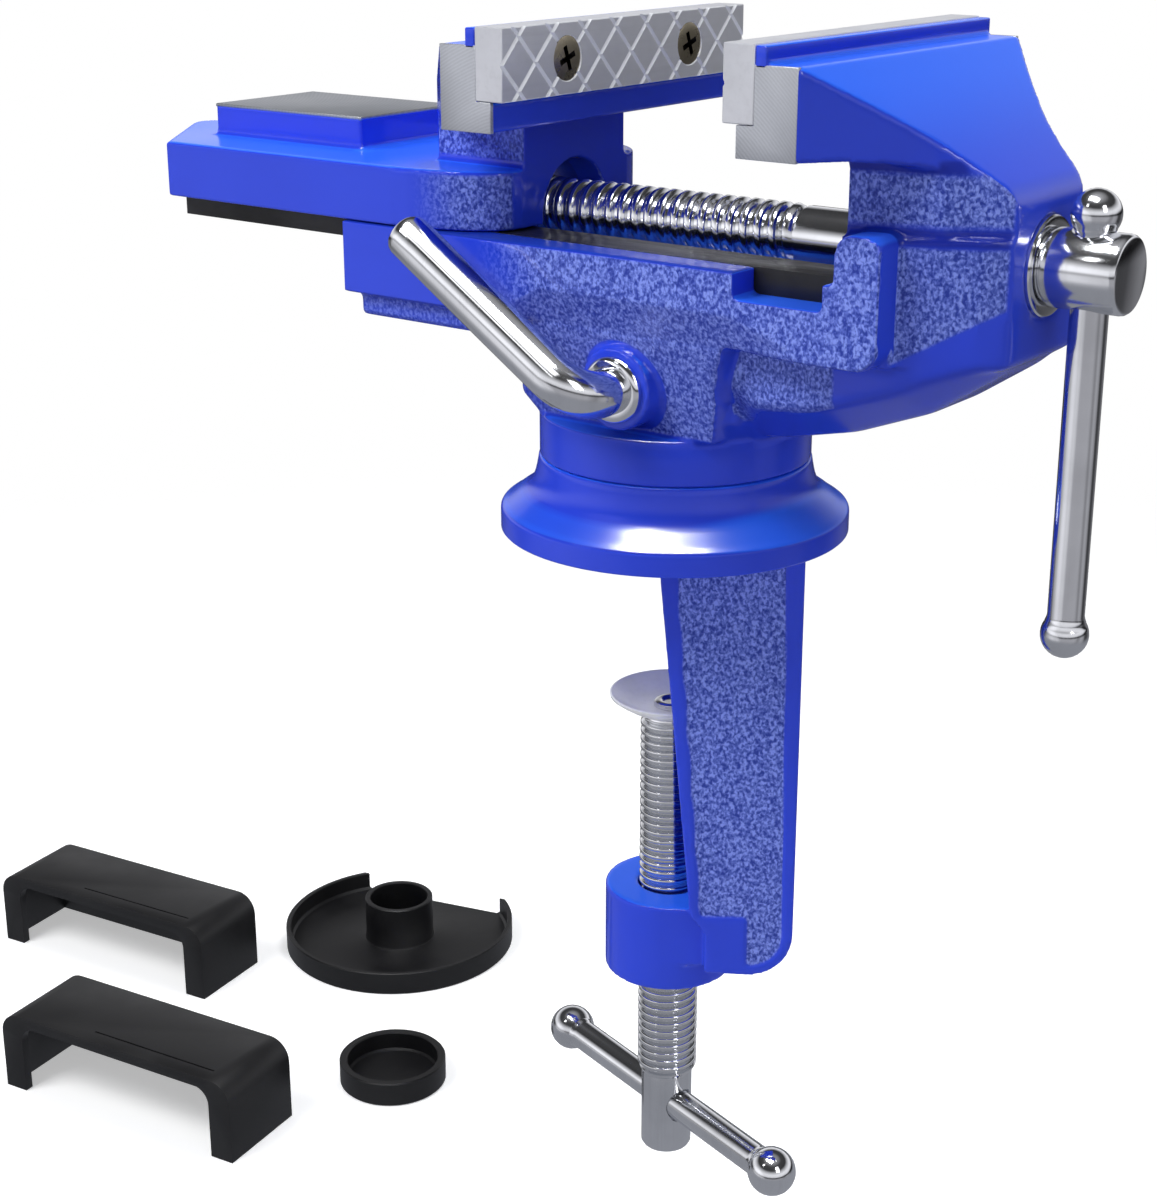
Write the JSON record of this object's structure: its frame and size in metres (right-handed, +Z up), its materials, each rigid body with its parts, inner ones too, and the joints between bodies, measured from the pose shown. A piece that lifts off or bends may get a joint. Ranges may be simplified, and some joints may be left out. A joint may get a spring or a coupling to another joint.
{
  "type": "clamp-on table vise",
  "caption": "Small bench vise that clamps to a table edge and swivels, with a fixed and a sliding jaw, an anvil, a screw with a sliding handle, a lock lever and loose soft pads.",
  "frame": {"origin": "on the swivel axis, at the underside of the base flange, where the bench top meets it", "axes": "+X along the jaw screw towards its handle, +Y along the jaws away from the viewer, +Z up"},
  "size_m": [0.3776, 0.1911, 0.2971],
  "materials": {
    "blue_paint": "gloss blue paint, hammered on the rough faces",
    "black_steel": "black oxide, satin",
    "plated_steel": "bright zinc plate",
    "jaw_steel": "ground steel with cut grooves",
    "brassy_screws": "yellow zinc plate",
    "chrome": "polished plate",
    "brass": "plain brass",
    "nut_bronze": "turned steel, oiled",
    "black_rubber": "matte moulded soft plastic"
  },
  "bodies": {
    "base": {"swivel_base": "blue_paint", "clamp_arm": "blue_paint", "jaw_cover_near": "black_rubber", "jaw_cover_far": "black_rubber", "base_pad": "black_rubber", "disc_cap": "black_rubber"},
    "vise_body": {"body_casting": "blue_paint", "guide_plate": "black_steel", "guide_screws": "plated_steel", "front_jaw_plate": "jaw_steel", "front_plate_screws": "brassy_screws", "front_ring": "chrome", "lock_pad": "brass"},
    "moving_jaw": {"moving_jaw_casting": "blue_paint", "rear_jaw_plate": "jaw_steel", "rear_plate_screws": "brassy_screws", "spindle_nut": "nut_bronze", "nut_pin": "plated_steel"},
    "spindle": {"spindle": "chrome", "retaining_collar": "black_steel", "collar_pin": "plated_steel"},
    "handle": {"handle_bar": "chrome", "handle_balls": "chrome"},
    "lock_lever": {"lock_lever": "chrome", "lock_washer": "chrome"},
    "clamp_disc": {"clamp_disc": "plated_steel"},
    "clamp_screw": {"clamp_screw": "chrome", "disc_rivet": "plated_steel"},
    "clamp_bar": {"clamp_bar": "chrome", "clamp_bar_ends": "chrome"}
  },
  "joints": [
    {"name": "swivel", "type": "hinge", "parent": "base", "child": "vise_body", "pos_m": [0, 0, 0.0147], "axis": [0, 0, 1], "continuous": true},
    {"name": "spindle_turn", "type": "hinge", "parent": "vise_body", "child": "spindle", "pos_m": [0.0745, 0, 0.0586], "axis": [-1, 0, 0], "range_deg": [-961, 5389]},
    {"name": "jaw_slide", "type": "slide", "parent": "vise_body", "child": "moving_jaw", "axis": [1, 0, 0], "range_m": [-0.008, 0.0449]},
    {"name": "handle_slide", "type": "slide", "parent": "spindle", "child": "handle", "axis": [0, 0, 1], "range_m": [0, 0.0535]},
    {"name": "lock_turn", "type": "hinge", "parent": "vise_body", "child": "lock_lever", "pos_m": [0.0045, -0.026, 0.0323], "axis": [0, -1, 0], "range_deg": [-24, 44]},
    {"name": "clamp_feed", "type": "slide", "parent": "base", "child": "clamp_disc", "axis": [0, 0, 1], "range_m": [-0.0364, 0.027]},
    {"name": "clamp_turn", "type": "hinge", "parent": "clamp_disc", "child": "clamp_screw", "pos_m": [0, 0, -0.0394], "axis": [0, 0, 1], "range_deg": [-7500, 5560]},
    {"name": "clamp_bar_slide", "type": "slide", "parent": "clamp_screw", "child": "clamp_bar", "axis": [0.9563, -0.2924, 0], "range_m": [-0.024, 0.024]}
  ],
  "couplings": [
    {"joint": "spindle_turn", "follows": "jaw_slide", "rad_per_m": 2094.4},
    {"joint": "clamp_turn", "follows": "clamp_feed", "rad_per_m": 3590.4}
  ]
}
